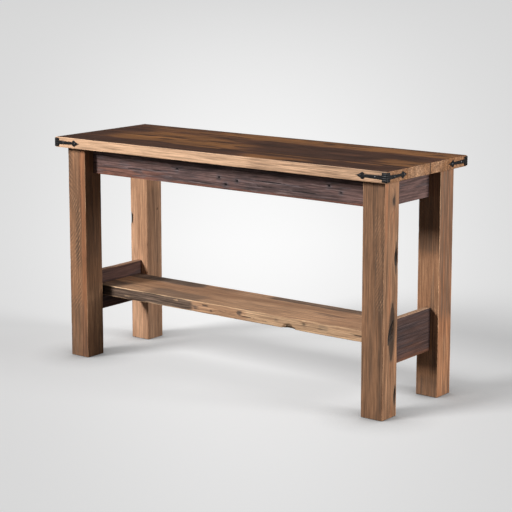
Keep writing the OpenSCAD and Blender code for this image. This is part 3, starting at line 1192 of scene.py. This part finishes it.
def pool_of_light(g):
    """The floor's painted pool of light: how bright its colour and glow are at each place, a long
    soft pool behind the table.
    """
    turn = math.radians(CAMERA_AZIMUTH)
    place = g.parts(g.position())
    x = g.math("SUBTRACT", place[0], POOL_CENTRE[0])
    y = g.math("SUBTRACT", place[1], POOL_CENTRE[1])
    ahead = g.line(y, math.cos(turn), g.times(x, -math.sin(turn)))
    across = g.line(y, math.sin(turn), g.times(x, math.cos(turn)))
    beyond = g.math("DIVIDE", g.math("MAXIMUM", ahead, 0.0), POOL_FAR)
    before = g.math("DIVIDE", g.math("MINIMUM", ahead, 0.0), POOL_NEAR)
    width = g.math("MAXIMUM", g.line(ahead, POOL_FAN, 1.0), POOL_LEAST)
    side = g.math("DIVIDE", across, width)
    square = g.line(before, before, g.times(side, side))
    fall = g.math("POWER", math.e, g.times(g.math("ADD", square, beyond), -1.0))
    return g.line(fall, POOL_GAIN, POOL_BASE)


def studio_floor():
    """A wide pale floor with a painted pool of light, which glows a little to the camera,
    has painted shade where something stands close over it, and gives little light back
    to the wood."""
    bm = bmesh.new()
    bmesh.ops.create_circle(bm, cap_ends=True, segments=96, radius=FLOOR_RADIUS)
    floor = in_scene("floor", mesh_of(bm, "floor_mesh"))
    floor.location.z = -FLOOR_DROP
    g = Graph("floor_finish")
    pool = pool_of_light(g)
    seen = g.node("ShaderNodeLightPath", {})["Is Camera Ray"]
    # Painted contact shade: the floor's colour and glow darken where something stands close over it
    nearby = g.node("ShaderNodeAmbientOcclusion", {"Distance": CONTACT_REACH}, samples=6)
    open_sky = g.math("POWER", nearby["AO"], CONTACT_DEPTH)
    bright = g.times(pool, open_sky)
    shown = g.grey(g.times(bright, FLOOR_TONE))
    g.surface({
        "Base Color": g.mix(seen, (FLOOR_BOUNCE,) * 3 + (1.0,), shown),
        "Emission Strength": g.times(g.times(bright, FLOOR_GLOW), seen),
        "Emission Color": (1.0, 1.0, 1.0, 1.0),
        "Roughness": 0.9,
        "Specular IOR Level": 0.1,
    })
    floor.data.materials.append(g.material)
    return floor


SUN_AT = 6.0


def sun(name, azimuth, elevation, strength, spread, glints=True):
    """A soft light from far away. Azimuth 0 is the front and 90 the right. Strength 1
    shows a white surface that faces it as white. glints is off for a polarised fill."""
    data = bpy.data.lights.new(name, "SUN")
    data.energy = strength * math.pi
    data.angle = math.radians(spread)
    a, e = math.radians(azimuth), math.radians(elevation)
    source = Vector((math.sin(a) * math.cos(e), -math.cos(a) * math.cos(e), math.sin(e)))
    return aimed(name, data, source * SUN_AT, source, glints)


def softbox(name, place, size, strength):
    """A soft box near the table, turned to its middle. Strength 1 shows a white surface
    there that faces it as white."""
    data = bpy.data.lights.new(name, "AREA")
    data.shape = "RECTANGLE"
    data.size, data.size_y = size
    reach = Vector(place) - Vector(TABLE_MIDDLE)
    data.energy = strength * math.pi ** 2 * reach.length_squared
    return aimed(name, data, place, reach, True)


def aimed(name, data, place, source, glints):
    """Puts a light in the scene with its back towards source."""
    holder = in_scene(name, data)
    holder.rotation_euler = source.to_track_quat("Z", "Y").to_euler()
    holder.location = place
    holder.visible_glossy = glints
    return holder


TABLE_MIDDLE = (0.0, -0.1, 0.45)
WORLD_LIGHT = 0.13
WORLD_SEEN = 0.66


def lights(floor):
    """Two near soft boxes and two fills for the table. The floor has its own pair, which
    stand further off, so that it is evenly lit from end to end."""
    for_table = [
        softbox("key", (-2.4, -4.2, 2.75), (0.9, 1.2), 1.14),
        softbox("side", (3.45, 0.70, 1.40), (1.6, 1.0), 0.84),
        sun("overhead", 170, 78, 0.14, 60, glints=False),
        sun("back", 205, 30, 0.22, 50, glints=False),
    ]
    for_floor = [
        sun("floor_key", -28, 34, 0.84, 22),
        sun("floor_side", 103, 34, 0.28, 20),
    ]
    for lamps, state in ((for_table, "EXCLUDE"), (for_floor, "INCLUDE")):
        linked = bpy.data.collections.new("floor_" + state.lower())
        linked.objects.link(floor)
        linked.collection_objects[0].light_linking.link_state = state
        for lamp in lamps:
            lamp.light_linking.receiver_collection = linked
    world = bpy.data.worlds.new("studio")
    world.use_nodes = True
    tree = world.node_tree
    back = tree.nodes["Background"]
    back.inputs["Color"].default_value = (1, 1, 1, 1)
    seen = tree.nodes.new("ShaderNodeLightPath").outputs["Is Camera Ray"]
    strength = tree.nodes.new("ShaderNodeMapRange")
    strength.inputs["To Min"].default_value = WORLD_LIGHT
    strength.inputs["To Max"].default_value = WORLD_SEEN
    tree.links.new(seen, strength.inputs["Value"])
    tree.links.new(strength.outputs["Result"], back.inputs["Strength"])
    bpy.context.scene.world = world


CAMERA_AT = (3.2019, -4.134, 1.4577)
CAMERA_DOWN = 9.678
CAMERA_LENS = 114.1
CAMERA_SHIFT = -0.1


def camera():
    """A long lens at the right front, looking a little down, with a small shift."""
    data = bpy.data.cameras.new("camera")
    data.lens = CAMERA_LENS
    data.sensor_width = 36
    data.shift_y = CAMERA_SHIFT
    data.clip_end = 200
    holder = in_scene("camera", data)
    holder.location = CAMERA_AT
    a, e = math.radians(CAMERA_AZIMUTH), math.radians(CAMERA_DOWN)
    ahead = Vector((-math.sin(a) * math.cos(e), math.cos(a) * math.cos(e), -math.sin(e)))
    holder.rotation_euler = ahead.to_track_quat("-Z", "Y").to_euler()
    bpy.context.scene.camera = holder


camera()
lights(studio_floor())
bpy.context.scene.view_settings.view_transform = "Standard"
top_planks()
all_tenons = aprons()
all_tenons += stretchers()
shelf()
legs(all_tenons)
straps(iron("strap_finish", (20, 19, 20), 0.40, 21))
nails(iron("nail_finish", (78, 77, 80), 0.30, 25))
keep_nodes()
